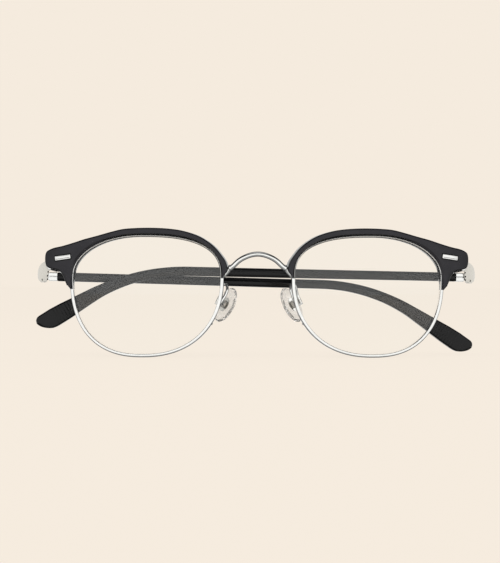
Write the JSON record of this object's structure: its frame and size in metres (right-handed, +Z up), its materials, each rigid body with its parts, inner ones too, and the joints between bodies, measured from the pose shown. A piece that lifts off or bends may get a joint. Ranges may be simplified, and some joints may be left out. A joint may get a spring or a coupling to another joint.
{
  "type": "browline glasses",
  "caption": "Browline eyeglasses with black upper brows over thin metal rims, a wire bridge, clear rocking nose pads and slim folding temples with drop ear ends.",
  "frame": {"origin": "middle of the footprint at table level, with the folded glasses standing on their rims and the lower temple tip", "axes": "+X to the left side of the wearer, +Y from the front of the glasses towards the wearer, +Z up"},
  "size_m": [0.1417, 0.0324, 0.0403],
  "materials": {
    "black_acetate": "satin",
    "silver": "polished",
    "satin_silver": "satin",
    "screw_steel": "satin",
    "core_wire": "drawn",
    "brass_core": "satin",
    "lens": "clear",
    "clear_plastic": "clear"
  },
  "bodies": {
    "front": {"right_eyewire": "silver", "left_eyewire": "silver", "right_lens": "lens", "left_lens": "lens", "right_brow": "black_acetate", "left_brow": "black_acetate", "right_plaque": "silver", "left_plaque": "silver", "right_brow_bracket": "silver", "left_brow_bracket": "silver", "right_rim_lock": "silver", "left_rim_lock": "silver", "right_endpiece": "satin_silver", "left_endpiece": "satin_silver", "right_hinge_screw": "screw_steel", "left_hinge_screw": "screw_steel", "right_pad_arm": "silver", "left_pad_arm": "silver", "right_pad_box": "silver", "left_pad_box": "silver", "brow_screws": "screw_steel", "rim_lock_screws": "screw_steel", "bridge": "silver", "pad_screws": "screw_steel"},
    "right_temple": {"right_temple": "black_acetate", "right_temple_core": "core_wire", "right_temple_joint": "satin_silver"},
    "right_pad": {"right_nose_pad": "clear_plastic", "right_pad_core": "brass_core"},
    "left_temple": {"left_temple": "black_acetate", "left_temple_core": "core_wire", "left_temple_joint": "satin_silver"},
    "left_pad": {"left_nose_pad": "clear_plastic", "left_pad_core": "brass_core"}
  },
  "joints": [
    {"name": "right_temple_hinge", "type": "hinge", "parent": "front", "child": "right_temple", "pos_m": [-0.0681, 0.00046, 0.02515], "axis": [0.0224, 0.0349, 0.9991], "range_deg": [0, 86]},
    {"name": "left_temple_hinge", "type": "hinge", "parent": "front", "child": "left_temple", "pos_m": [0.0681, 0.00046, 0.02515], "axis": [-0.0189, -0.0349, -0.9992], "range_deg": [0, 92]},
    {"name": "right_pad_pivot", "type": "hinge", "parent": "front", "child": "right_pad", "pos_m": [-0.01119, -0.00896, 0.01702], "axis": [-0.6943, 0.6428, 0.3237], "range_deg": [-13, 19]},
    {"name": "left_pad_pivot", "type": "hinge", "parent": "front", "child": "left_pad", "pos_m": [0.01209, -0.00896, 0.01702], "axis": [0.6943, 0.6428, 0.3237], "range_deg": [-13, 19]}
  ]
}
